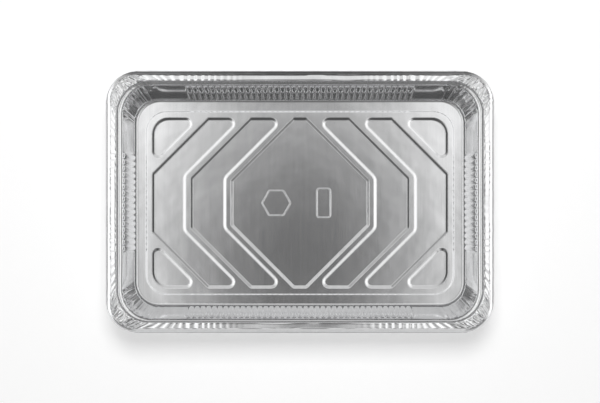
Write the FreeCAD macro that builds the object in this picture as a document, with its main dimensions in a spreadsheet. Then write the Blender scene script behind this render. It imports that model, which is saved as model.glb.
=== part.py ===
import FreeCAD, Part
import os

import Sketcher

# A large rectangular tray pressed from one sheet of aluminium foil.
# The frame stands under the middle of the base: +X runs along the tray, +Y across it and +Z up.
# All lengths are millimetres. The foil is drawn thicker than the real sheet, so that it stays a closed solid.

doc = FreeCAD.newDocument("foil_tray")
sizes = doc.addObject("Spreadsheet::Sheet", "sizes")

DRIVING_SIZES = {
    "outer_length": 315.0,
    "outer_width": 213.0,
    "overall_height": 42.0,
    "outer_radius": 27.0,
    "foil": 0.3,
    "curl_radius": 2.1,
    "curl_start": 12.0,
    "curl_end": 330.0,
    "curl_flats": 7,
    "curl_overlap": 1.85,
    "flange_drop": 1.4,
    "flange_inset": 8.8,
    "flange_radius": 26.5,
    "shoulder_drop": 3.0,
    "mouth_length": 289.0,
    "mouth_width": 190.4,
    "mouth_radius": 24.0,
    "bend": 1.0,
    "corner_flats": 8,
    "turn_flats": 3,
    "base_length": 276.8,
    "base_width": 173.0,
    "base_radius": 20.0,
    "rib_width": 4.4,
    "rib_crest": 1.8,
    "rib_depth": 0.8,
    "rib_ramp": 2.6,
    "rib_top_gap": 2.2,
    "rib_foot_gap": 1.6,
    "rib_margin": 0.5,
    "long_rib_pitch": 4.8,
    "long_rib_count": 39,
    "short_rib_pitch": 5.05,
    "short_rib_count": 16,
    "relief": 0.9,
    "relief_slope": 2.0,
    "ring_length": 259.2,
    "ring_width": 154.2,
    "ring_radius": 17.0,
    "island_length": 247.8,
    "island_width": 142.0,
    "island_corner": 13.0,
    "island_rounding": 3.4,
    "band": 6.0,
    "stripe_outer": 152.5,
    "stripe_pitch": 36.0,
    "upright_outer": 94.5,
    "upright_pitch": 34.0,
    "gather_count": 11,
    "gather_height": 0.45,
    "gather_width": 2.0,
    "gather_start": 20.0,
    "gather_reach": 31.0,
    "gather_margin": 0.4,
    "gather_clear": 1.0,
    "gather_centre": 31.5,
    "mark_line": 1.0,
    "mark_height": 0.5,
    "mark_offset": 20.0,
    "mark_size": 26.0,
}

for row, (alias, number) in enumerate(DRIVING_SIZES.items(), start=1):
    sizes.set("A%d" % row, alias)
    sizes.set("B%d" % row, str(number))
    sizes.setAlias("B%d" % row, alias)
doc.recompute()

FLANGE_TOP = "(sizes.overall_height - sizes.flange_drop)"
SHOULDER_TOP = "(sizes.overall_height - sizes.flange_drop - sizes.shoulder_drop)"
WALL_FOOT = "(sizes.foil + sizes.bend)"
WALL_RISE = "(%s - sizes.bend - %s)" % (SHOULDER_TOP, WALL_FOOT)


def number_of(expression):
    """The value of an expression over the sheet, in millimetres or degrees."""
    return float(sizes.evalExpression(expression))


def origin_part(body, role):
    """The plane or axis of a body's own origin that plays the given role."""
    return next(item for item in body.Origin.OriginFeatures if item.Role == role)


def new_sketch(body, name, plane="XY_Plane", level="0"):
    """An empty sketch on one of the body's own planes, lifted along that plane's normal."""
    sketch = body.newObject("Sketcher::SketchObject", name)
    sketch.AttachmentSupport = [(origin_part(body, plane), "")]
    sketch.MapMode = "FlatFace"
    sketch.setExpression("AttachmentOffset.Base.z", level)
    doc.recompute()
    return sketch


def pin_point(sketch, geometry, place, across, up):
    """Fix a point of the sketch at the two coordinates, given as expressions."""
    for kind, expression in (("DistanceX", across), ("DistanceY", up)):
        value = number_of(expression)
        constraint = sketch.addConstraint(Sketcher.Constraint(kind, -1, 1, geometry, place, value))
        sketch.setExpression("Constraints[%d]" % constraint, expression)


def polygon(sketch, corners):
    """A closed outline of straight lines through corners given as expressions."""
    points = [FreeCAD.Vector(number_of(across), number_of(up), 0) for across, up in corners]
    total = len(points)
    lines = [sketch.addGeometry(Part.LineSegment(point, points[(index + 1) % total]), False)
             for index, point in enumerate(points)]
    for index, (across, up) in enumerate(corners):
        sketch.addConstraint(Sketcher.Constraint("Coincident", lines[index - 1], 2, lines[index], 1))
        pin_point(sketch, lines[index], 1, across, up)


QUARTERS = ((1, 1), (-1, 1), (-1, -1), (1, -1))


def rectangle(body, name, length, width, radius, level):
    """A rectangle centred on the frame, its corners turned in short flats as foil folds round them."""
    sketch = new_sketch(body, name, level=level)
    flats = int(number_of("sizes.corner_flats"))
    corners = []
    for quarter, (side, end) in enumerate(QUARTERS):
        for step in range(flats + 1):
            turn = "(%d + %d / sizes.corner_flats) * 90 deg" % (quarter, step)
            corners.append(("%d * ((%s) / 2 - (%s)) + (%s) * cos(%s)" % (side, length, radius, radius, turn),
                            "%d * ((%s) / 2 - (%s)) + (%s) * sin(%s)" % (end, width, radius, radius, turn)))
    polygon(sketch, corners)
    return sketch


def new_body(name, placement=None):
    """A body, placed by an expression where one is given."""
    body = doc.addObject("PartDesign::Body", name)
    if placement:
        body.setExpression("Placement", placement)
    return body


def feature(body, kind, name, **settings):
    """A feature of a body, with its plain settings made at once."""
    item = body.newObject("PartDesign::" + kind, name)
    for key, setting in settings.items():
        setattr(item, key, setting)
    return item


def raised(body, name, sketch, length, **settings):
    """A pad of a sketch along its normal."""
    item = feature(body, "Pad", name, Profile=sketch, **settings)
    item.setExpression("Length", length)
    doc.recompute()
    return item


def loft(body, kind, name, *levels):
    """A straight-sided loft through outlines at rising levels."""
    item = feature(body, kind, name, Profile=levels[0], Ruled=True)
    item.Sections = list(levels[1:])
    doc.recompute()
    return item


def boolean(kind, name, **links):
    """A Part boolean of finished pieces."""
    item = doc.addObject("Part::" + kind, name)
    for key, link in links.items():
        setattr(item, key, link)
    doc.recompute()
    return item


def mirrored(source, name, normal):
    """A mirror image across an upright plane through the frame's origin."""
    item = doc.addObject("Part::Mirroring", name)
    item.Source = source
    item.Base = FreeCAD.Vector(0, 0, 0)
    item.Normal = normal
    doc.recompute()
    return item


ALONG = FreeCAD.Vector(1, 0, 0)
ACROSS = FreeCAD.Vector(0, 1, 0)


# The plain tray: a drafted tub, a small step up to a flat flange, and a curled edge around it.

def tub_outlines(body, side, grow, floor):
    """The outlines of one face of the tub: floor edge, foot, mouth and shoulder, with its bends between."""
    bend = "sizes.bend"
    base = "sizes.base_%s + 2 * " + grow
    mouth = "sizes.mouth_%s + 2 * " + grow
    levels = (("floor", base + " - 2 * " + bend, "sizes.base_radius - %s + %s" % (bend, grow), floor),
              ("foot", base, "sizes.base_radius + " + grow, "%s + %s" % (floor, bend)),
              ("mouth", mouth, "sizes.mouth_radius + " + grow, "%s - %s" % (SHOULDER_TOP, bend)),
              ("shoulder", mouth + " + 2 * " + bend, "sizes.mouth_radius + %s + %s" % (bend, grow),
               SHOULDER_TOP))
    return [rectangle(body, "%s_%s" % (name, side), size % "length", size % "width", radius, level)
            for name, size, radius, level in levels]


def make_tub(body):
    """The drafted tub, the step above it and the flange, still filled."""
    loft(body, "AdditiveLoft", "tub", *tub_outlines(body, "outside", "sizes.foil", "0"))
    step = rectangle(body, "step_outside", "sizes.outer_length - 2 * sizes.flange_inset + 2 * sizes.foil",
                     "sizes.outer_width - 2 * sizes.flange_inset + 2 * sizes.foil",
                     "sizes.flange_radius + sizes.foil", SHOULDER_TOP + " - sizes.foil")
    raised(body, "step_block", step, "sizes.shoulder_drop + sizes.foil")
    plate_inset = "2 * (sizes.curl_radius + sizes.curl_overlap)"
    plate = rectangle(body, "flange_edge", "sizes.outer_length - " + plate_inset,
                      "sizes.outer_width - " + plate_inset,
                      "sizes.outer_radius - sizes.curl_radius - sizes.curl_overlap",
                      FLANGE_TOP + " - sizes.foil")
    raised(body, "flange_plate", plate, "sizes.foil")


def make_hollow(body):
    """The hollow above the floor and the step around its mouth."""
    step = rectangle(body, "step_inside", "sizes.outer_length - 2 * sizes.flange_inset",
                     "sizes.outer_width - 2 * sizes.flange_inset", "sizes.flange_radius", FLANGE_TOP)
    well = feature(body, "Pocket", "step_well", Profile=step)
    well.setExpression("Length", "sizes.shoulder_drop")
    doc.recompute()
    loft(body, "SubtractiveLoft", "hollow", *tub_outlines(body, "inside", "0", "sizes.foil"))


def make_shell():
    """The plain pressed shell: floor, walls, step and flange."""
    body = new_body("shell")
    make_tub(body)
    make_hollow(body)
    return body


def curl_section(body, centre_across, centre_up, level, turn):
    """The open ring that the edge is rolled into, in short flats, and the axis of the rim's corner."""
    section = new_sketch(body, "curl_section", plane="YZ_Plane", level=level)
    flats = int(number_of("sizes.curl_flats"))
    corners = []
    for radius, steps in (("sizes.curl_radius", range(flats + 1)),
                          ("(sizes.curl_radius - sizes.foil)", range(flats, -1, -1))):
        for step in steps:
            angle = ("(sizes.curl_start + (sizes.curl_end - sizes.curl_start) * %d / sizes.curl_flats) * 1 deg"
                     % step)
            corners.append(("%s + %s * cos(%s)" % (centre_across, radius, angle),
                            "%s + %s * sin(%s)" % (centre_up, radius, angle)))
    polygon(section, corners)
    foot = FreeCAD.Vector(number_of(turn), 0, 0)
    axis = section.addGeometry(Part.LineSegment(foot, foot + FreeCAD.Vector(0, 1, 0)), True)
    pin_point(section, axis, 1, turn, "0")
    pin_point(section, axis, 2, turn, "1")
    return section


def end_face(shape, normal):
    """The name of the flat face of a shape that looks along the given direction."""
    for index, face in enumerate(shape.Faces, start=1):
        if isinstance(face.Surface, Part.Plane) and face.normalAt(0, 0).dot(normal) > 0.9999:
            return "Face%d" % index
    raise ValueError("no face looks along %s" % normal)


def make_curl():
    """The edge of the sheet, rolled over, around and under along the whole rim."""
    body = new_body("curl_quarter")
    turn_along = "(sizes.outer_length / 2 - sizes.outer_radius)"
    turn_across = "(sizes.outer_width / 2 - sizes.outer_radius)"
    section = curl_section(body, "-(sizes.outer_width / 2 - sizes.curl_radius)",
                           "sizes.overall_height - sizes.curl_radius", turn_along, "-" + turn_across)
    corner = feature(body, "Revolution", "curl_corner", Profile=section)
    corner.ReferenceAxis = (section, ["Axis0"])
    corner.Angle = 90
    doc.recompute()
    if corner.Shape.BoundBox.XMax < number_of(turn_along) + 1:
        corner.Reversed = True
        doc.recompute()
    raised(body, "curl_long_side", section, turn_along, Reversed=True)
    end = end_face(body.Tip.Shape, ACROSS)
    raised(body, "curl_short_side", (body.Tip, [end]), turn_across)
    left = mirrored(body, "curl_left", ALONG)
    return [body, left, mirrored(body, "curl_far", ACROSS), mirrored(left, "curl_far_left", ACROSS)]


# The walls carry upright ridges that bulge into the tray, with a matching hollow behind each.

RIB_SLOPE = "((sizes.rib_width - sizes.rib_crest) / (2 * sizes.rib_depth))"
RIB_INSET = "(sizes.foil * sqrt(1 + %s ^ 2))" % RIB_SLOPE
RAMP_SHIFT = "(sizes.foil / sin(atan(sizes.rib_depth / sizes.rib_ramp)))"


def flutes(name, placement, pitch, count, length, top, bottom, inset):
    """A row of bars lying up the wall, each with a flat crest and two sloping sides."""
    body = new_body(name, placement)
    section = new_sketch(body, name + "_section", plane="XZ_Plane")
    first = "-(%s - 1) * %s / 2" % (count, pitch)
    corners = []
    for side, level in (("-", bottom), ("+", bottom), ("+", top), ("-", top)):
        half = "(sizes.rib_width / 2 - %s * %s - %s)" % (RIB_SLOPE, level, inset)
        corners.append(("%s %s %s" % (first, side, half), level))
    polygon(section, corners)
    doc.recompute()
    bar = raised(body, name + "_bar", section, length, Reversed=True)
    row = feature(body, "LinearPattern", name + "_row", Originals=[bar])
    row.Direction = (origin_part(body, "X_Axis"), [""])
    row.setExpression("Length", "(%s - 1) * %s" % (count, pitch))
    row.setExpression("Occurrences", count)
    body.Tip = row
    doc.recompute()
    return body


def ramped_block(name, placement, width, length, shift):
    """A block along the whole row whose two ends slope like the ends of the ridges."""
    body = new_body(name, placement)
    section = new_sketch(body, name + "_section", plane="YZ_Plane")
    slope = "sizes.rib_ramp / sizes.rib_depth"
    low = "(sizes.foil + sizes.rib_margin)"
    high = "(sizes.rib_depth + sizes.rib_margin)"
    foot = "(sizes.rib_foot_gap + %s)" % shift
    top = "(%s - sizes.rib_top_gap - %s)" % (length, shift)
    polygon(section, [("%s - %s * %s" % (foot, slope, low), "-" + low),
                      ("%s + %s * %s" % (top, slope, low), "-" + low),
                      ("%s - %s * %s" % (top, slope, high), high),
                      ("%s + %s * %s" % (foot, slope, high), high)])
    doc.recompute()
    raised(body, name + "_block", section, width, Midplane=True)
    return body


def rib_row(name, pitch, count, run, out, yaw):
    """One wall's ridges and the hollows behind them, each as a pair of solids to add and to cut."""
    length = "sqrt((%s) ^ 2 + %s ^ 2)" % (run, WALL_RISE)
    lean = "90 deg - atan((%s) / %s)" % (run, WALL_RISE)
    far = "(%s)" % out
    place = "0; %s" % far if yaw == "0" else "%s; 0" % far
    placement = ("create(<<placement>>; create(<<vector>>; %s; %s); create(<<rotation>>; %s; 0; %s))"
                 % (place, WALL_FOOT, yaw, lean))
    pair = []
    for kind, top, bottom, inset, shift in (
            ("ridges", "sizes.rib_depth", "(-sizes.foil / 4)", "0", "0"),
            ("hollows", "(sizes.rib_depth - sizes.foil)", "(-sizes.foil - sizes.rib_margin)",
             RIB_INSET, RAMP_SHIFT)):
        label = name + "_" + kind
        bars = flutes(label + "_bars", placement, pitch, count, length, top, bottom, inset)
        block = ramped_block(label + "_ends", placement, "%s * %s" % (count, pitch), length, shift)
        pair.append(boolean("Common", label, Base=bars, Tool=block))
    return pair


def both_walls(row, name, normal):
    """A row and its mirror image on the opposite wall."""
    return [row, mirrored(row, name + "_opposite", normal)]


# The floor stands on a flat border and flat islands; a ring and slanting bands are pressed up between them.

SLANT_HALF_BAND = "sizes.band / sqrt(2)"


def stripe(index):
    """How far out the slanting band of this number crosses the long axis."""
    return "(sizes.stripe_outer - %d * sizes.stripe_pitch)" % index


def upright(index):
    """How far out the upright stretch of this band lies."""
    return "(sizes.upright_outer - %d * sizes.upright_pitch)" % index


def turned(across, up, radius, first, last):
    """The corners of a round turn in short flats: about a centre, between two directions in degrees."""
    flats = int(number_of("sizes.turn_flats"))
    corners = []
    for step in range(flats + 1):
        angle = "(%d + (%d) * %d / sizes.turn_flats) * 1 deg" % (first, last - first, step)
        corners.append(("%s + %s * cos(%s)" % (across, radius, angle),
                        "%s + %s * sin(%s)" % (up, radius, angle)))
    return corners


def placed(corners, side, end):
    """Corners drawn in the far right quarter, moved to another quarter, still running the same way round."""
    moved = [("%d * (%s)" % (side, across), "%d * (%s)" % (end, up)) for across, up in corners]
    return moved if side * end > 0 else moved[::-1]


def corner_island(grow, side, end):
    """The triangle in one corner of the floor."""
    far = "(sizes.island_length / 2 + %s)" % grow
    wide = "(sizes.island_width / 2 + %s)" % grow
    slant = "(%s + %s - %s * sqrt(2))" % (stripe(0), SLANT_HALF_BAND, grow)
    tip = "(sizes.island_rounding + %s)" % grow
    outer = "(sizes.island_corner + %s)" % grow
    along = "(%s - %s + %s / tan(22.5 deg))" % (slant, wide, tip)
    across = "(%s - %s + %s / tan(22.5 deg))" % (slant, far, tip)
    corners = turned("(%s - %s)" % (far, outer), "(%s - %s)" % (wide, outer), outer, 0, 90)
    corners += turned(along, "(%s - %s)" % (wide, tip), tip, 90, 225)
    corners += turned("(%s - %s)" % (far, tip), across, tip, 225, 360)
    return placed(corners, side, end)


def bent_island(grow, side, index):
    """One of the bent strips between two bands, the outermost or the next one in."""
    outer_limit = "sizes.island_length / 2" if index == 0 else "%s - sizes.band / 2" % upright(0)
    outer = "(%s + %s)" % (outer_limit, grow)
    inner = "(%s + sizes.band / 2 - %s)" % (upright(index), grow)
    wide = "(sizes.island_width / 2 + %s)" % grow
    far_slant = "(%s - %s + %s * sqrt(2))" % (stripe(index), SLANT_HALF_BAND, grow)
    near_slant = "(%s + %s - %s * sqrt(2))" % (stripe(index + 1), SLANT_HALF_BAND, grow)
    tip = "(sizes.island_rounding + %s)" % grow
    half = [(outer, "%s - %s" % (far_slant, outer)), ("%s - %s" % (far_slant, wide), wide)]
    half += turned("(%s - %s + %s / tan(22.5 deg))" % (near_slant, wide, tip), "(%s - %s)" % (wide, tip),
                   tip, 90, 225)
    half += [(inner, "%s - %s" % (near_slant, inner))]
    other_half = [(across, "-(%s)" % up) for across, up in reversed(half)]
    return placed(half + other_half, side, 1)


def middle_island(grow):
    """The six-sided flat in the middle of the floor, its long corners cut off."""
    outer = "(%s - sizes.band / 2 + %s)" % (upright(1), grow)
    wide = "(sizes.island_width / 2 + %s)" % grow
    slant = "(%s - %s + %s * sqrt(2))" % (stripe(2), SLANT_HALF_BAND, grow)
    quarter = [(outer, "%s - %s" % (slant, outer)), ("%s - %s" % (slant, wide), wide)]
    top = quarter + [("-(%s)" % across, up) for across, up in reversed(quarter)]
    return top + [(across, "-(%s)" % up) for across, up in reversed(top)]


def sink_island(body, name, outline, *place):
    """Press one island down to the level of the border, with sloping sides."""
    levels = (("foot", "(-sizes.relief_slope / 2)", "0"),
              ("crest", "(sizes.relief_slope / 2)", "sizes.relief"))
    sketches = []
    for edge, grow, level in levels:
        sketch = new_sketch(body, name + "_" + edge, level=level)
        polygon(sketch, outline(grow, *place))
        sketches.append(sketch)
    return loft(body, "SubtractiveLoft", name, *sketches)


def make_relief():
    """The raised ring and bands of the floor, standing on the frame's zero level."""
    body = new_body("relief")
    edges = []
    for edge, grow, level in (("foot", "+ sizes.relief_slope", "0"),
                              ("crest", "- sizes.relief_slope", "sizes.relief")):
        edges.append(rectangle(body, "ring_" + edge, "sizes.ring_length " + grow, "sizes.ring_width " + grow,
                               "sizes.ring_radius %s / 2" % grow, level))
    loft(body, "AdditiveLoft", "ring", *edges)
    sink_island(body, "island_middle", middle_island)
    for side in (-1, 1):
        hand = "left" if side < 0 else "right"
        for index in (0, 1):
            sink_island(body, "island_%s_%d" % (hand, index + 1), bent_island, side, index)
        for end in (-1, 1):
            corner = "near" if end < 0 else "far"
            sink_island(body, "island_corner_%s_%s" % (corner, hand), corner_island, side, end)
    return body


# The flange is gathered into small radiating pleats where it turns the corners.

def make_gathers():
    """The pleats of one corner, trimmed to the flange between the step and the curl."""
    placement = ("create(<<placement>>; create(<<vector>>; sizes.outer_length / 2 - sizes.gather_centre; "
                 "sizes.outer_width / 2 - sizes.gather_centre; %s); "
                 "create(<<rotation>>; 45 / sizes.gather_count; 0; 0))" % FLANGE_TOP)
    body = new_body("gather_fan", placement)
    section = new_sketch(body, "gather_section", plane="YZ_Plane", level="sizes.gather_start")
    half = "sizes.gather_width / 2 * (1 + sizes.foil / 2 / sizes.gather_height)"
    polygon(section, [("-(%s)" % half, "-sizes.foil / 2"), (half, "-sizes.foil / 2"),
                      ("0", "sizes.gather_height")])
    doc.recompute()
    pleat = raised(body, "gather_pleat", section, "sizes.gather_reach - sizes.gather_start")
    fan = feature(body, "PolarPattern", "gather_pattern", Originals=[pleat])
    fan.Axis = (origin_part(body, "Z_Axis"), [""])
    fan.setExpression("Angle", "90 deg * (1 - 1 / sizes.gather_count)")
    fan.setExpression("Occurrences", "sizes.gather_count")
    body.Tip = fan
    doc.recompute()
    zone = new_body("gather_zone")
    reach = "2 * (sizes.curl_radius * 2 + sizes.gather_margin)"
    edge = rectangle(zone, "gather_zone_edge", "sizes.outer_length - " + reach, "sizes.outer_width - " + reach,
                     "sizes.outer_radius - 2 * sizes.curl_radius", FLANGE_TOP + " - sizes.gather_clear")
    raised(zone, "gather_zone_block", edge, "2 * sizes.gather_clear")
    inset = "2 * (sizes.flange_inset - sizes.gather_margin)"
    middle = rectangle(zone, "gather_zone_inside", "sizes.outer_length - " + inset,
                       "sizes.outer_width - " + inset, "sizes.flange_radius",
                       FLANGE_TOP + " + sizes.gather_clear")
    hole = feature(zone, "Pocket", "gather_zone_hole", Profile=middle)
    hole.setExpression("Length", "2 * sizes.gather_clear")
    doc.recompute()
    first = boolean("Common", "gathers", Base=body, Tool=zone)
    second = mirrored(first, "gathers_left", ALONG)
    return [first, second, mirrored(first, "gathers_near", ACROSS),
            mirrored(second, "gathers_near_left", ACROSS)]


# Two plain outlines are pressed up from the middle of the floor.

def mark(body, name, outline):
    """One outline of the marks, as a narrow raised line between two copies of it."""
    sketch = new_sketch(body, name, level="sizes.foil / 2")
    for shrink in ("0", "sizes.mark_line"):
        polygon(sketch, outline(shrink))
    return raised(body, name + "_line", sketch, "sizes.mark_height + sizes.foil / 2")


def hexagon(shrink):
    """A six-sided outline standing left of the middle."""
    reach = "(sizes.mark_size / 2 - %s)" % shrink
    return [("%s * cos(%d deg) - sizes.mark_offset" % (reach, 60 * step),
             "%s * sin(%d deg)" % (reach, 60 * step))
            for step in range(6)]


def upright_box(shrink):
    """An upright outline standing right of the middle."""
    half = "(sizes.mark_size / 4 - %s)" % shrink
    tall = "(sizes.mark_size / 2 - %s)" % shrink
    return [("sizes.mark_offset + %d * %s" % (side, half), "%d * %s" % (end, tall)) for side, end in QUARTERS]


def make_marks():
    """A six-sided outline and an upright rounded one, side by side."""
    pieces = []
    for name, outline in (("mark_left", hexagon), ("mark_right", upright_box)):
        body = new_body(name)
        mark(body, name + "_outline", outline)
        pieces.append(body)
    return pieces


def lowered(source):
    """A copy of a piece, one thickness of foil lower, to cut the underside to match."""
    item = doc.addObject("App::Link", source.Name + "_below")
    item.LinkedObject = source
    item.Placement = source.Placement
    item.setExpression("Placement.Base.z", "%s.Placement.Base.z - sizes.foil * 1 mm" % source.Name)
    doc.recompute()
    return item


def make_tray():
    """The whole tray: the shell with everything pressed up in it, less the hollows behind."""
    shell = make_shell()
    curl = make_curl()
    added = []
    removed = []
    long_run = "(sizes.mouth_width - sizes.base_width) / 2"
    short_run = "(sizes.mouth_length - sizes.base_length) / 2"
    rows = (("long_wall", "sizes.long_rib_pitch", "sizes.long_rib_count", long_run,
             "sizes.base_width / 2", "0", ACROSS),
            ("short_wall", "sizes.short_rib_pitch", "sizes.short_rib_count", short_run,
             "sizes.base_length / 2", "-90", ALONG))
    for name, pitch, count, run, out, yaw, normal in rows:
        ridges, hollows = rib_row(name, pitch, count, run, out, yaw)
        added += both_walls(ridges, name + "_ridges", normal)
        removed += both_walls(hollows, name + "_hollows", normal)
    relief = make_relief()
    relief.setExpression("Placement", "create(<<placement>>; create(<<vector>>; 0; 0; sizes.foil); "
                         "create(<<rotation>>; 0; 0; 0))")
    doc.recompute()
    gathers = make_gathers()
    added += [relief] + gathers + make_marks()
    removed += [lowered(piece) for piece in [relief] + gathers]
    pressed = boolean("MultiFuse", "pressed_sheet", Shapes=[shell] + curl + added)
    behind = boolean("MultiFuse", "hollows_behind", Shapes=removed)
    tray = boolean("Cut", "tray", Base=pressed, Tool=behind)
    tray.Label = "tray"
    return tray


def check_document():
    """Stop if any object of the document failed."""
    for item in doc.Objects:
        if "Invalid" in item.State or "Error" in item.State:
            raise RuntimeError("%s: %s" % (item.Name, item.getStatusString()))


def write_part(item):
    """Check one finished piece and write it under its label."""
    if item.Shape.isNull() or not item.Shape.isValid():
        raise RuntimeError("%s has no valid shape" % item.Label)
    item.Shape.exportStep("parts/%s.step" % item.Label)
    print(item.Label, len(item.Shape.Solids), "solid", round(item.Shape.Volume, 1), "mm3")


tray = make_tray()
doc.recompute()
check_document()
os.makedirs("parts", exist_ok=True)
write_part(tray)
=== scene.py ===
from math import atan2, cos, floor, pi, radians, sin, sqrt

import bmesh
import bpy
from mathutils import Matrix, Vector, noise


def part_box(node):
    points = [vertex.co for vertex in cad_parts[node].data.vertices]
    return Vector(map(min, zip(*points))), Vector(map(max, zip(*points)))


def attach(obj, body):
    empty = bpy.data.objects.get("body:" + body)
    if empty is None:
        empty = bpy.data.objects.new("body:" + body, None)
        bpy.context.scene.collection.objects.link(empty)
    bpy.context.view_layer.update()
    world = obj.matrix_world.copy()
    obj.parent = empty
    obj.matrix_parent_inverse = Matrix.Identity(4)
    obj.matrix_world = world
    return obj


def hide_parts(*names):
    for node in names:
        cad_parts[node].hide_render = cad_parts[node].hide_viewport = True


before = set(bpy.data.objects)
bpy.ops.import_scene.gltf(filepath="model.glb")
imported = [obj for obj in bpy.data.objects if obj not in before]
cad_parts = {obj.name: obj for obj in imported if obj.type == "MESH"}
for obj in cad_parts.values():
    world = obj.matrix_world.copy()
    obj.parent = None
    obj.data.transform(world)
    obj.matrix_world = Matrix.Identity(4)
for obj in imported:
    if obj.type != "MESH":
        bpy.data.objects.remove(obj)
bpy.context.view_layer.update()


# The pressed sheet: one piece of soft aluminium foil, drawn by a press into a tub with a stepped rim.
# Its edge is rolled over a bead, its walls are fluted, and the spare foil is gathered at the corners.
# It is laid out in millimetres, as rings of points from the rolled edge inwards, each drawn from the last.

MM = 0.001
tray_low, tray_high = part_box("tray")
HALF_LENGTH = tray_high[0] / MM
HALF_WIDTH = tray_high[1] / MM
RIM_TOP = tray_high[2] / MM
FOIL = 0.3
OUTER_RADIUS = 27.0
CREASE_INSET = 4.1
CREASE_RADIUS = 20.0
FLANGE_TOP = RIM_TOP - 1.4
FLANGE_INSET = 8.8
FLANGE_RADIUS = 26.5
SHOULDER_TOP = FLANGE_TOP - 3.0
MOUTH = (144.5, 95.2, 24.0)
FOOT = (138.4, 86.5, 20.0)
BORDER_LEVEL = 0.86

FLUTE_DEPTH = 0.85
FLUTE_SHARE = 0.92
FLUTE_LOW = 2.7
FLUTE_HIGH = 34.9
LONG_PITCH = 4.8
LONG_FLUTES = 39
SHORT_PITCH = 5.05
SHORT_FLUTES = 16
FLUTE_COLUMNS = (0.0, 1.3, 1.95, 2.4, 2.85, 3.5)
LONG_HELD = LONG_FLUTES * LONG_PITCH / 2
SHORT_HELD = SHORT_FLUTES * SHORT_PITCH / 2
TURN_POINTS = 84
PLAIN_POINTS = 20
TOUCH = 0.01

LONG_STRAIGHT = HALF_LENGTH - FLANGE_INSET - FLANGE_RADIUS
SHORT_STRAIGHT = HALF_WIDTH - FLANGE_INSET - FLANGE_RADIUS
TURN_RUN = 37.7
ROLL_PROFILE = ((3.7, -3.3), (2.1, -4.2), (0.9, -3.8), (0.25, -2.9), (0.0, -2.0), (0.1, -1.1), (0.4, -0.4),
                (0.8, -0.05), (1.25, -0.15), (2.2, -0.64), (3.3, -1.22), (3.8, -1.45))
CRIMPED_FROM = 6
FLANGE_SHARES = (0.0, 0.12, 0.38, 0.65, 0.93)
STEP_PROFILE = ((0.15, 0.25), (0.35, 1.5), (0.6, 2.75))
SHOULDER_GROW = (2.4, 1.8, 1.6)
LIP_PROFILE = ((1.35, 0.0), (0.6, 0.3), (0.1, 0.95))
WALL_HEIGHTS = (35.6, 34.9, 34.3, 33.6, 32.5, 20.0, 5.2, 4.0, 3.3, 2.7, 2.2)
FOOT_PROFILE = ((0.15, 0.7), (0.6, 0.2), (1.5, 0.06), (1.9, 0.055))

FLANGE_PITCH = 2.5
FLANGE_LIFT = 0.75
STEP_PITCH = 2.4
STEP_DEPTH = 0.1
WALL_PITCH = 3.0
WALL_DEPTH = 0.4
RIPPLE_PITCH = 5.3
RIPPLE_LIFT = 0.1
FLANGE_SEED = 1.0
WALL_SEED = 6.0


def flute_columns(pitch, total, first):
    """The places of the points along the flutes of half a wall, from the middle outwards."""
    places = [0.0]
    for number in range(-1, total):
        for column in FLUTE_COLUMNS:
            place = pitch * (number + first + column / LONG_PITCH)
            if TOUCH < place < pitch * total / 2 + TOUCH:
                places.append(place)
    return places


def quarter_stations():
    """The points along a quarter of the rim: short wall, its plain end, the turn, and the long wall."""
    short = [("short", place) for place in flute_columns(SHORT_PITCH, SHORT_FLUTES, 0.5)]
    short += [("short_end", step / PLAIN_POINTS) for step in range(1, PLAIN_POINTS)]
    turn = [("turn", 90 * step / TURN_POINTS) for step in range(TURN_POINTS + 1)]
    long_end = [("long_end", step / PLAIN_POINTS) for step in range(PLAIN_POINTS - 1, 0, -1)]
    long = [("long", place) for place in flute_columns(LONG_PITCH, LONG_FLUTES, 0.0)]
    return short + turn + long_end + long[::-1]


def all_stations():
    """The four quarters joined into one closed ring, each point with the signs of its quarter."""
    quarter = quarter_stations()
    ring = []
    for side, end, backwards in ((1, 1, False), (-1, 1, True), (-1, -1, False), (1, -1, True)):
        run = quarter[::-1] if backwards else quarter
        ring += [(kind, value, side, end) for kind, value in run[:-1]]
    return ring


def along_side(kind, value, straight):
    """How far a station lies from the middle of a side whose straight part has the given half length."""
    held = SHORT_HELD if kind.startswith("short") else LONG_HELD
    return held + value * (straight - held) if kind.endswith("end") else value


def place_on(station, half_length, half_width, radius):
    """Where a station lies on one outline, and which way is outwards there."""
    kind, value, side, end = station
    long_straight = half_length - radius
    short_straight = half_width - radius
    if kind == "turn":
        out = Vector((cos(radians(value)), sin(radians(value)), 0))
        point = Vector((long_straight, short_straight, 0)) + out * radius
    elif kind.startswith("short"):
        out = Vector((1, 0, 0))
        point = Vector((half_length, along_side(kind, value, short_straight), 0))
    else:
        out = Vector((0, 1, 0))
        point = Vector((along_side(kind, value, long_straight), half_width, 0))
    mirror = Vector((side, end, 1))
    return point * mirror, out * mirror


def run_past_turn(station):
    """Millimetres along the rim from the start of the nearest turn: 0 to TURN_RUN inside it."""
    kind, value = station[:2]
    if kind == "turn":
        return TURN_RUN * value / 90
    if kind.startswith("short"):
        return along_side(kind, value, SHORT_STRAIGHT) - SHORT_STRAIGHT
    return TURN_RUN + LONG_STRAIGHT - along_side(kind, value, LONG_STRAIGHT)


def ease(low, high, value):
    """A smooth step from 0 at low to 1 at high."""
    share = min(1.0, max(0.0, (value - low) / (high - low)))
    return share * share * (3 - 2 * share)


def wander(position, scale, seed):
    """Smooth noise between about -1 and 1 that changes over the given number of millimetres."""
    return noise.noise(Vector((position[0] / scale, position[1] / scale, seed)))


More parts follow.
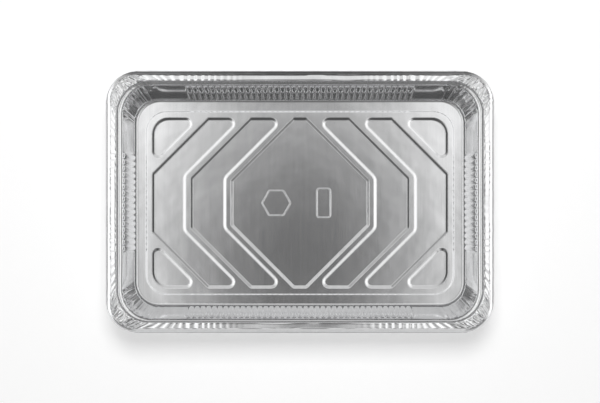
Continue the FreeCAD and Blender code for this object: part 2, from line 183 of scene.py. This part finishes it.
def gather_wave(station, pitch, seed, across=0.0):
    """The folds of the gathered foil: sharp uneven creases across a turn, fading along the sides."""
    run = run_past_turn(station)
    corner = station[2] * 7.3 + station[3] * 3.1
    drift = 0.5 * noise.noise(Vector((run / 2.1, across / 3.0, corner + seed)))
    crease = abs(noise.noise(Vector((run / pitch + drift, across / 11.0, corner + seed))))
    small = abs(noise.noise(Vector((2.3 * run / pitch, across / 6.0, corner + seed + 5))))
    size = 0.75 + 0.5 * noise.noise(Vector((run / 6.1, corner + 4, seed + 9)))
    window = ease(-9, 3, run) * (1 - ease(TURN_RUN - 3, TURN_RUN + 9, run))
    return (2 - 5.2 * crease - 2.6 * small) * size * window


def side_ripple(station, seed):
    """Slow ripples along the flange, strongest beside the turns."""
    run = run_past_turn(station)
    beyond = max(-run, run - TURN_RUN, 0)
    corner = station[2] * 5.7 + station[3] * 2.3
    bend = noise.noise(Vector((beyond / 17.0, corner, seed)))
    window = ease(2, 10, beyond) * (1 - ease(25, 85, beyond))
    return window * sin(2 * pi * beyond / RIPPLE_PITCH + 4 * bend)


def flute_height(offset, height, pitch):
    """How far a flute stands out of the wall: a round bar with round ends, on a narrow plain valley."""
    half = FLUTE_SHARE * pitch / 2
    beyond = max(FLUTE_LOW + half - height, height - (FLUTE_HIGH - half), 0)
    share = (offset * offset + beyond * beyond) / (half * half)
    return FLUTE_DEPTH * max(0.0, 1 - share * share)


def wall_bulge(station, height):
    """The inward bulge of the fluted walls at one station and height."""
    kind, value = station[:2]
    if kind == "long" and value < LONG_HELD - TOUCH:
        nearest = round(value / LONG_PITCH) * LONG_PITCH
        return flute_height(value - nearest, height, LONG_PITCH)
    if kind == "short" and value < SHORT_HELD - TOUCH:
        nearest = (floor(value / SHORT_PITCH) + 0.5) * SHORT_PITCH
        return flute_height(value - nearest, height, SHORT_PITCH)
    return 0.0


def outline_at(share):
    """The wall's outline at a share of its height: 0 at the foot and 1 at the mouth."""
    return [low + (high - low) * share for low, high in zip(FOOT, MOUTH)]


def roll_rings():
    """The rolled edge, from its hidden end under the flange, around the outside and down to the crease."""
    for number, (inset, rise) in enumerate(ROLL_PROFILE):
        radius = OUTER_RADIUS - inset * (OUTER_RADIUS - CREASE_RADIUS) / CREASE_INSET
        outline = (HALF_LENGTH - inset, HALF_WIDTH - inset, radius)
        yield "roll", outline, RIM_TOP + rise, 1.0 if number >= CRIMPED_FROM else 0.0


def flange_rings():
    """The flange, from the crease beside the roll to the step down, and the step itself."""
    for share in FLANGE_SHARES:
        inset = CREASE_INSET + (FLANGE_INSET - CREASE_INSET) * share
        radius = CREASE_RADIUS + (FLANGE_RADIUS - CREASE_RADIUS) * share
        yield "flange", (HALF_LENGTH - inset, HALF_WIDTH - inset, radius), FLANGE_TOP, 1 - share
    for inset, drop in STEP_PROFILE:
        half_length, half_width = [size - FLANGE_INSET - inset for size in (HALF_LENGTH, HALF_WIDTH)]
        outline = (half_length, half_width, FLANGE_RADIUS - inset)
        yield "step", outline, FLANGE_TOP - drop, 0.0


def wall_rings():
    """The shoulder, its rounded lip, the wall from mouth to foot, and the bend into the floor."""
    wide = [size + grow for size, grow in zip(MOUTH, SHOULDER_GROW)]
    yield "shoulder", wide, SHOULDER_TOP, 0.0
    for grow, drop in LIP_PROFILE:
        yield "lip", [size + grow for size in MOUTH], SHOULDER_TOP - drop, 0.0
    for height in WALL_HEIGHTS:
        share = (height - FOIL) / (SHOULDER_TOP - FOIL)
        yield "wall", outline_at(share), height, share
    for shrink, rise in FOOT_PROFILE:
        yield "foot", [size - shrink for size in FOOT], BORDER_LEVEL + rise, 0.0


def worked_point(station, kind, outline, height, share):
    """One point of the sheet, with the gathers, ripples, flutes and small dents of its place."""
    point, out = place_on(station, *outline)
    spot = point.copy()
    if kind == "roll":
        crimp = gather_wave(station, FLANGE_PITCH, FLANGE_SEED)
        push = -0.14 - 0.1 * crimp - 0.1 * wander(spot, 9, 3.0)
        lift = -0.05 - 0.07 * crimp * share
    elif kind == "flange":
        crease = gather_wave(station, FLANGE_PITCH, FLANGE_SEED, 9 * share)
        push = 0.0
        lift = FLANGE_LIFT * crease * (0.35 + 0.65 * share)
        lift += RIPPLE_LIFT * side_ripple(station, 2.0)
        lift += 0.22 * wander(spot, 26, 5.0)
        lift -= 0.12 + 0.07 * share
    elif kind in ("step", "shoulder", "lip"):
        push = STEP_DEPTH * gather_wave(station, STEP_PITCH, WALL_SEED) + 0.12 * wander(spot, 18, 7.0)
        lift = 0.05 * wander(spot, 14, 8.0)
    elif kind == "wall":
        strength = ease(0.0, 0.5, share) * 0.75 + 0.25
        push = WALL_DEPTH * strength * gather_wave(station, WALL_PITCH, WALL_SEED, height / 3)
        push -= wall_bulge(station, height)
        push += 0.1 * wander((spot.x, spot.y + 3 * height), 30, 9.0)
        lift = 0.0
    else:
        push = 0.0
        lift = 0.0
    point += out * push
    point.z = height + lift
    return point * MM


foil = bmesh.new()
station_of = foil.verts.layers.int.new("station")
stations = all_stations()
circle = bmesh.ops.create_circle(foil, segments=len(stations), radius=1)
rings = list(roll_rings()) + list(flange_rings()) + list(wall_rings())
for number, vertex in enumerate(circle["verts"]):
    vertex[station_of] = number
    vertex.co = worked_point(stations[number], *rings[0])
edge_ring = list(foil.edges)
for place in rings[1:]:
    drawn = bmesh.ops.extrude_edge_only(foil, edges=edge_ring)["geom"]
    for vertex in drawn:
        if isinstance(vertex, bmesh.types.BMVert):
            vertex.co = worked_point(stations[vertex[station_of]], *place)
    edge_ring = [edge for edge in drawn if isinstance(edge, bmesh.types.BMEdge)]
    edge_ring = [edge for edge in edge_ring if len(edge.link_faces) == 1]


# The floor of the same sheet: a raised ring and slanting bands pressed up between flat islands.
# Each raised or sunk shape is one face with rounded corners, inset in small steps to make its slope.
# The flats between them are filled from their edges, so that the sheet stays whole.

RING = (129.6, 77.1, 17.0)
ISLANDS = (123.9, 71.0)
ISLAND_CORNER = 13.0
TIP = 4.4
BEND = 2.0
WIDE_BEND = 6.0
BAND = 6.0
SLANTS = (152.5, 116.5, 80.5)
UPRIGHTS = (94.5, 60.5)
FLOOR_LEVEL = FOIL
SOFT_STEPS = ((0.2, 0.0), (0.25, 0.03), (0.25, 0.09), (1.65, 0.66), (0.25, 0.09), (0.25, 0.03), (0.2, 0.0))
BAND_LEVEL = FOIL + sum(height for _, height in SOFT_STEPS)
RING_STEPS = ((0.2, 0.0), (0.3, 0.04), (0.6, 0.26), (0.3, 0.04), (0.2, 0.0))
GROW = sum(width for width, _ in SOFT_STEPS) / 2
RING_GROW = sum(width for width, _ in RING_STEPS) / 2


def flat_face(corners, level):
    """One flat face through the given corners, looking up."""
    points = [foil.verts.new(Vector((across, up, level)) * MM) for across, up in corners]
    face = foil.faces.new(points)
    face.normal_update()
    if face.normal.z < 0:
        face.normal_flip()
    return face


def press(face, steps, direction):
    """Press a face up or down by insetting it in steps, which leaves the face itself in the middle."""
    for width, depth in steps:
        bmesh.ops.inset_region(foil, faces=[face], thickness=width * MM, depth=direction * depth * MM,
                               use_even_offset=True, use_boundary=True)


def rounded(corners, sizes, segments):
    """The points of an outline with each corner cut to a round turn of the given radius."""
    points = [Vector(corner) for corner in corners]
    outline = []
    for index, point in enumerate(points):
        radius = sizes[index]
        if not radius:
            outline.append(tuple(point))
            continue
        back = (points[index - 1] - point).normalized()
        ahead = (points[(index + 1) % len(points)] - point).normalized()
        half = back.angle(ahead) / 2
        centre = point + (back + ahead).normalized() * radius / sin(half)
        first = point + back * radius * cos(half) / sin(half)
        second = point + ahead * radius * cos(half) / sin(half)
        begin = atan2(first.y - centre.y, first.x - centre.x)
        sweep = atan2(second.y - centre.y, second.x - centre.x) - begin
        sweep = (sweep + pi) % (2 * pi) - pi
        for step in range(segments + 1):
            angle = begin + sweep * step / segments
            outline.append((centre.x + radius * cos(angle), centre.y + radius * sin(angle)))
    return outline


def mirrored(corners, side, end):
    """Corners drawn in the far right quarter, moved to another quarter."""
    return [(across * side, up * end) for across, up in corners]


def corner_island():
    """The triangle in the far right corner of the floor, at the top of its slope."""
    far, wide = ISLANDS[0] + GROW, ISLANDS[1] + GROW
    slant = SLANTS[0] + BAND / sqrt(2) - GROW * sqrt(2)
    corners = [(far, wide), (slant - wide, wide), (far, slant - far)]
    return rounded(corners, [ISLAND_CORNER + GROW, TIP + GROW, TIP + GROW], 9)


def bent_island(index):
    """The bent strip between two bands on the right: the outermost, or the next one in."""
    outer = ISLANDS[0] + GROW if index == 0 else UPRIGHTS[0] - BAND / 2 + GROW
    inner = UPRIGHTS[index] + BAND / 2 - GROW
    wide = ISLANDS[1] + GROW
    far_slant = SLANTS[index] - BAND / sqrt(2) + GROW * sqrt(2)
    near_slant = SLANTS[index + 1] + BAND / sqrt(2) - GROW * sqrt(2)
    half = [(outer, far_slant - outer), (far_slant - wide, wide), (near_slant - wide, wide),
            (inner, near_slant - inner)]
    sizes = [BEND + GROW, BEND + GROW, TIP + GROW, WIDE_BEND]
    corners = half + [(across, -up) for across, up in reversed(half)]
    return rounded(corners, sizes + sizes[::-1], 6)


def middle_island():
    """The broad flat in the middle of the floor."""
    outer = UPRIGHTS[1] - BAND / 2 + GROW
    wide = ISLANDS[1] + GROW
    slant = SLANTS[2] - BAND / sqrt(2) + GROW * sqrt(2)
    quarter = [(outer, slant - outer), (slant - wide, wide)]
    top = quarter + [(-across, up) for across, up in reversed(quarter)]
    corners = top + [(across, -up) for across, up in reversed(top)]
    return rounded(corners, [BEND + GROW] * len(corners), 5)


island_outlines = [middle_island()]
for side in (-1, 1):
    island_outlines += [mirrored(bent_island(index), side, 1) for index in (0, 1)]
    island_outlines += [mirrored(corner_island(), side, end) for end in (-1, 1)]

ring_corners = [(side * (RING[0] + RING_GROW), end * (RING[1] + RING_GROW))
                for side, end in ((1, 1), (-1, 1), (-1, -1), (1, -1))]
ring_face = flat_face(rounded(ring_corners, [RING[2] + RING_GROW] * 4, 14), BORDER_LEVEL)
ring_outside = list(ring_face.edges)
bmesh.ops.triangle_fill(foil, use_beauty=True, edges=edge_ring + ring_outside, normal=(0, 0, 1))
press(ring_face, RING_STEPS, 1)
ring_inside = list(ring_face.edges)
foil.faces.remove(ring_face)

island_edges = []
island_faces = []
for outline in island_outlines:
    face = flat_face(outline, BAND_LEVEL)
    island_edges += list(face.edges)
    island_faces.append(face)
bmesh.ops.triangle_fill(foil, use_beauty=True, edges=ring_inside + island_edges, normal=(0, 0, 1))
for face in island_faces:
    press(face, SOFT_STEPS, -1)


# Two plain outlines are embossed in the middle of the floor, side by side: a six-sided and an upright one.
# Each is one narrow rounded line, pressed up and down again in small steps, with the floor flat inside it.

MARK_OFFSET = 20.0
MARK_SIZE = 26.0
LINE_STEPS = ((0.15, 0.0), (0.2, 0.1), (0.25, 0.32), (0.2, 0.08),
              (0.2, -0.08), (0.25, -0.32), (0.2, -0.1), (0.2, 0.0))

six_sides = [(MARK_SIZE / 2 * cos(pi * step / 3) - MARK_OFFSET, MARK_SIZE / 2 * sin(pi * step / 3))
             for step in range(6)]
upright = [(MARK_OFFSET + side * MARK_SIZE / 4, end * MARK_SIZE / 2)
           for side, end in ((1, 1), (-1, 1), (-1, -1), (1, -1))]
middle_face = island_faces[0]
middle_edges = list(middle_face.edges)
foil.faces.remove(middle_face)
mark_faces = [flat_face(rounded(six_sides, [2.5] * 6, 4), FLOOR_LEVEL),
              flat_face(rounded(upright, [3.0] * 4, 6), FLOOR_LEVEL)]
mark_edges = [edge for face in mark_faces for edge in face.edges]
bmesh.ops.triangle_fill(foil, use_beauty=True, edges=middle_edges + mark_edges, normal=(0, 0, 1))
for face in mark_faces:
    press(face, LINE_STEPS, 1)


# The whole sheet is joined and turned to face up, and its thickness is added below it.
# It is bright rolled foil: a mirror blurred by fine roll lines across the tray and by slight waves.

ROLL_LINES = (1800, 45, 1800)
BROAD_STREAKS = (260, 14, 260)
WAVE_SCALE = 38.0
DULL_TINT = (0.86, 0.865, 0.875, 1)
BRIGHT_TINT = (0.96, 0.96, 0.965, 1)
SMOOTHEST = 0.08
ROUGHEST = 0.14

bmesh.ops.remove_doubles(foil, verts=foil.verts, dist=0.01 * MM)
bmesh.ops.recalc_face_normals(foil, faces=foil.faces)
floor_faces = [face for face in foil.faces if face.calc_center_median().z < 2 * MM]
if sum(face.normal.z * face.calc_area() for face in floor_faces) < 0:
    bmesh.ops.reverse_faces(foil, faces=foil.faces)
foil_mesh = bpy.data.meshes.new("foil_sheet")
foil.to_mesh(foil_mesh)
foil.free()
for face in foil_mesh.polygons:
    face.use_smooth = True
foil_sheet = bpy.data.objects.new("foil_sheet", foil_mesh)
bpy.context.collection.objects.link(foil_sheet)
thickness = foil_sheet.modifiers.new("foil", "SOLIDIFY")
thickness.thickness = FOIL * MM
thickness.offset = -1


def node(tree, kind, place, **settings):
    """A shader node with its settings made at once."""
    item = tree.nodes.new(kind)
    item.location = place
    for key, setting in settings.items():
        if key.startswith("in_"):
            item.inputs[key[3:].replace("_", " ")].default_value = setting
        else:
            setattr(item, key, setting)
    return item


def bright_foil():
    """The material of the sheet: roll lines set its gloss and grain, broad streaks its tint."""
    material = bpy.data.materials.new("bright_foil")
    material.use_nodes = True
    tree = material.node_tree
    shader = tree.nodes["Principled BSDF"]
    shader.inputs["Metallic"].default_value = 1.0
    place = node(tree, "ShaderNodeTexCoord", (-1100, 0))
    roll = node(tree, "ShaderNodeMapping", (-900, 200))
    roll.inputs["Scale"].default_value = ROLL_LINES
    lines = node(tree, "ShaderNodeTexNoise", (-700, 200), in_Scale=1.0, in_Detail=4.0, in_Roughness=0.6)
    broad = node(tree, "ShaderNodeMapping", (-900, -100))
    broad.inputs["Scale"].default_value = BROAD_STREAKS
    streaks = node(tree, "ShaderNodeTexNoise", (-700, -100), in_Scale=1.0, in_Detail=3.0, in_Roughness=0.5)
    waves = node(tree, "ShaderNodeTexNoise", (-700, -400), in_Scale=WAVE_SCALE, in_Detail=2.0,
                 in_Roughness=0.45)
    tree.links.new(place.outputs["Object"], roll.inputs["Vector"])
    tree.links.new(place.outputs["Object"], broad.inputs["Vector"])
    tree.links.new(place.outputs["Object"], waves.inputs["Vector"])
    tree.links.new(roll.outputs["Vector"], lines.inputs["Vector"])
    tree.links.new(broad.outputs["Vector"], streaks.inputs["Vector"])
    tint = node(tree, "ShaderNodeMix", (-350, 350), data_type="RGBA")
    tint.inputs["A"].default_value = DULL_TINT
    tint.inputs["B"].default_value = BRIGHT_TINT
    tree.links.new(streaks.outputs["Fac"], tint.inputs["Factor"])
    tree.links.new(tint.outputs["Result"], shader.inputs["Base Color"])
    gloss = node(tree, "ShaderNodeMapRange", (-350, 100))
    gloss.inputs["To Min"].default_value = SMOOTHEST
    gloss.inputs["To Max"].default_value = ROUGHEST
    tree.links.new(lines.outputs["Fac"], gloss.inputs["Value"])
    tree.links.new(gloss.outputs["Result"], shader.inputs["Roughness"])
    grain = node(tree, "ShaderNodeBump", (-350, -100), in_Strength=0.35, in_Distance=0.000012)
    wavy = node(tree, "ShaderNodeBump", (-350, -350), in_Strength=0.5, in_Distance=0.00025)
    tree.links.new(lines.outputs["Fac"], grain.inputs["Height"])
    tree.links.new(waves.outputs["Fac"], wavy.inputs["Height"])
    tree.links.new(wavy.outputs["Normal"], grain.inputs["Normal"])
    tree.links.new(grain.outputs["Normal"], shader.inputs["Normal"])
    return material


foil_mesh.materials.append(bright_foil())
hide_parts("tray")
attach(foil_sheet, "root")


# The stand: a plain white floor that keeps the tray's shadow.
# It is matt, and lifted to white only where the camera or the foil looks at it.

STAND_SIZE = 3.0
STAND_DROP = 0.0002
FLOOR_GLOW = 0.46

floor_mesh = bmesh.new()
bmesh.ops.create_grid(floor_mesh, x_segments=1, y_segments=1, size=STAND_SIZE)
bmesh.ops.translate(floor_mesh, verts=floor_mesh.verts, vec=(0, 0, -STAND_DROP))
floor_data = bpy.data.meshes.new("stand")
floor_mesh.to_mesh(floor_data)
floor_mesh.free()
stand = bpy.data.objects.new("stand", floor_data)
bpy.context.collection.objects.link(stand)


def math_node(tree, operation, *values):
    """A math node fed by sockets or plain numbers, giving its result socket."""
    item = tree.nodes.new("ShaderNodeMath")
    item.operation = operation
    for socket, value in zip(item.inputs, values):
        if isinstance(value, (int, float)):
            socket.default_value = value
        else:
            tree.links.new(value, socket)
    return item.outputs["Value"]


def white_floor():
    """Matt white that the camera and the foil see lifted to white, with its shadows kept."""
    material = bpy.data.materials.new("white_floor")
    material.use_nodes = True
    tree = material.node_tree
    shader = tree.nodes["Principled BSDF"]
    shader.inputs["Base Color"].default_value = (0.9, 0.9, 0.9, 1)
    shader.inputs["Roughness"].default_value = 0.9
    shader.inputs["Emission Color"].default_value = (1, 1, 1, 1)
    path = tree.nodes.new("ShaderNodeLightPath")
    seen = math_node(tree, "MAXIMUM", path.outputs["Is Camera Ray"], path.outputs["Is Glossy Ray"])
    tree.links.new(math_node(tree, "MULTIPLY", seen, FLOOR_GLOW), shader.inputs["Emission Strength"])
    return material


floor_data.materials.append(white_floor())


# The light: a soft room that only the foil sees, given as levels over the angle from straight up.
# It is bright to the sides, softer at the far side and dim at the near side, and has a darker patch overhead.
# A wide lamp behind adds nothing but the soft shadow in front of the tray.

TOP_LEVEL = 1.25
SIDE_LEVELS = ((0, 1.25), (15, 1.25), (20, 0.9), (28, 0.9), (31, 0.05), (37, 0.05), (41, 1.25), (57, 1.25),
               (62, 0.12), (90, 0.12))
FAR_LEVELS = ((0, 0.9), (20, 0.7), (27, 0.6), (49, 0.65), (56, 0.18), (90, 0.15))
NEAR_LEVELS = ((0, 0.5), (18, 0.2), (33, 0.08), (44, 0.06), (55, 0.3), (62, 0.3), (68, 0.1), (90, 0.1))
MATT_LEVEL = 0.2
PATCH_LEAN = 0.05
PATCH_HALF_WIDTH = 0.155
PATCH_FAR_REACH = 0.232
PATCH_NEAR_LESS = 0.155
PATCH_POWER = 1.2
PATCH_RISE = 0.72
PATCH_MIDDLE = 0.12
SIDE_POWER = 0.8
LOWEST = 0.05


def height_ramp(tree, height, levels):
    """A curve of light over the angle from straight up, in degrees, read from the direction's height."""
    item = tree.nodes.new("ShaderNodeFloatCurve")
    curve = item.mapping.curves[0]
    points = sorted((cos(radians(angle)), level / TOP_LEVEL) for angle, level in levels)
    curve.points[0].location = points[0]
    curve.points[-1].location = points[-1]
    for place in points[1:-1]:
        curve.points.new(*place)
    for point in curve.points:
        point.handle_type = "VECTOR"
    item.mapping.update()
    tree.links.new(height, item.inputs["Value"])
    return math_node(tree, "MULTIPLY", item.outputs["Value"], TOP_LEVEL)


def dark_patch(tree, across, along):
    """The level of the patch overhead, which reaches further to the far side than to the near side."""
    lean = math_node(tree, "ADD", along, PATCH_LEAN)
    near = math_node(tree, "LESS_THAN", lean, 0.0)
    reach = math_node(tree, "ADD", math_node(tree, "MULTIPLY", near, -PATCH_NEAR_LESS), PATCH_FAR_REACH)
    wide = math_node(tree, "ABSOLUTE", math_node(tree, "DIVIDE", across, PATCH_HALF_WIDTH))
    deep = math_node(tree, "ABSOLUTE", math_node(tree, "DIVIDE", lean, reach))
    spread = math_node(tree, "ADD", math_node(tree, "POWER", wide, 2.0), math_node(tree, "POWER", deep, 2.0))
    rise = math_node(tree, "MULTIPLY", math_node(tree, "POWER", spread, PATCH_POWER), PATCH_RISE)
    return math_node(tree, "ADD", rise, PATCH_MIDDLE)


def room_level(tree, parts):
    """The level of the room in a direction: its sides, far and near levels blended by where it points."""
    side, far, near = [height_ramp(tree, parts.outputs["Z"], levels)
                       for levels in (SIDE_LEVELS, FAR_LEVELS, NEAR_LEVELS)]
    square_x = math_node(tree, "MULTIPLY", parts.outputs["X"], parts.outputs["X"])
    square_y = math_node(tree, "MULTIPLY", parts.outputs["Y"], parts.outputs["Y"])
    whole = math_node(tree, "MAXIMUM", math_node(tree, "ADD", square_x, square_y), 0.000001)
    sideways = math_node(tree, "POWER", math_node(tree, "DIVIDE", square_x, whole), SIDE_POWER)
    lengthways = math_node(tree, "SUBTRACT", 1.0, sideways)
    toward_far = math_node(tree, "DIVIDE", parts.outputs["Y"], math_node(tree, "SQRT", whole))
    far_share = math_node(tree, "MULTIPLY_ADD", toward_far, 0.5, 0.5)
    far_part = math_node(tree, "MULTIPLY", far, far_share)
    near_part = math_node(tree, "MULTIPLY", near, math_node(tree, "SUBTRACT", 1.0, far_share))
    ends = math_node(tree, "MULTIPLY", lengthways, math_node(tree, "ADD", far_part, near_part))
    return math_node(tree, "ADD", math_node(tree, "MULTIPLY", sideways, side), ends)


def light_room():
    """The world: white for the camera, the room for the foil, and a low even level for the matt floor."""
    world = bpy.data.worlds.new("light_room")
    bpy.context.scene.world = world
    world.use_nodes = True
    tree = world.node_tree
    backdrop = tree.nodes["Background"]
    direction = tree.nodes.new("ShaderNodeTexCoord")
    parts = tree.nodes.new("ShaderNodeSeparateXYZ")
    tree.links.new(direction.outputs["Generated"], parts.inputs["Vector"])
    up = math_node(tree, "MAXIMUM", parts.outputs["Z"], LOWEST)
    across = math_node(tree, "DIVIDE", parts.outputs["X"], up)
    along = math_node(tree, "DIVIDE", parts.outputs["Y"], up)
    level = math_node(tree, "MINIMUM", dark_patch(tree, across, along), room_level(tree, parts))
    path = tree.nodes.new("ShaderNodeLightPath")
    shown = tree.nodes.new("ShaderNodeMix")
    shown.data_type = "FLOAT"
    tree.links.new(path.outputs["Is Camera Ray"], shown.inputs["Factor"])
    shown.inputs["B"].default_value = 1.0
    mirrored_room = math_node(tree, "MULTIPLY", level, path.outputs["Is Glossy Ray"])
    matt_share = math_node(tree, "SUBTRACT", 1.0, path.outputs["Is Glossy Ray"])
    matt_room = math_node(tree, "MULTIPLY", matt_share, MATT_LEVEL)
    tree.links.new(math_node(tree, "ADD", mirrored_room, matt_room), shown.inputs["A"])
    tree.links.new(shown.outputs["Result"], backdrop.inputs["Strength"])
    backdrop.inputs["Color"].default_value = (1, 1, 1, 1)


light_room()
lamp_data = bpy.data.lights.new("far_lamp", "AREA")
lamp_data.size = 0.5
lamp_data.energy = 7.5
far_lamp = bpy.data.objects.new("far_lamp", lamp_data)
far_lamp.location = (0.0, 0.45, 1.2)
far_lamp.rotation_euler = (-far_lamp.location).to_track_quat("-Z", "Y").to_euler()
far_lamp.visible_glossy = False
bpy.context.collection.objects.link(far_lamp)


# The camera looks straight down from just under a metre, a little in front of the middle of the tray.
# Its small shift frames the tray in the middle of the picture.

CAMERA_HEIGHT = 0.95
CAMERA_ACROSS = -0.0224
PIXEL_AT_FLOOR = 0.000845
PICTURE_WIDTH = 600
FOOT_BELOW_MIDDLE = 28.0

eye = bpy.data.cameras.new("eye")
eye.sensor_width = 36.0
eye.lens = eye.sensor_width * CAMERA_HEIGHT / (PIXEL_AT_FLOOR * PICTURE_WIDTH)
eye.shift_y = FOOT_BELOW_MIDDLE / PICTURE_WIDTH
camera = bpy.data.objects.new("camera", eye)
camera.location = (0.0, CAMERA_ACROSS, CAMERA_HEIGHT)
bpy.context.collection.objects.link(camera)
bpy.context.scene.camera = camera
bpy.context.scene.view_settings.view_transform = "Standard"
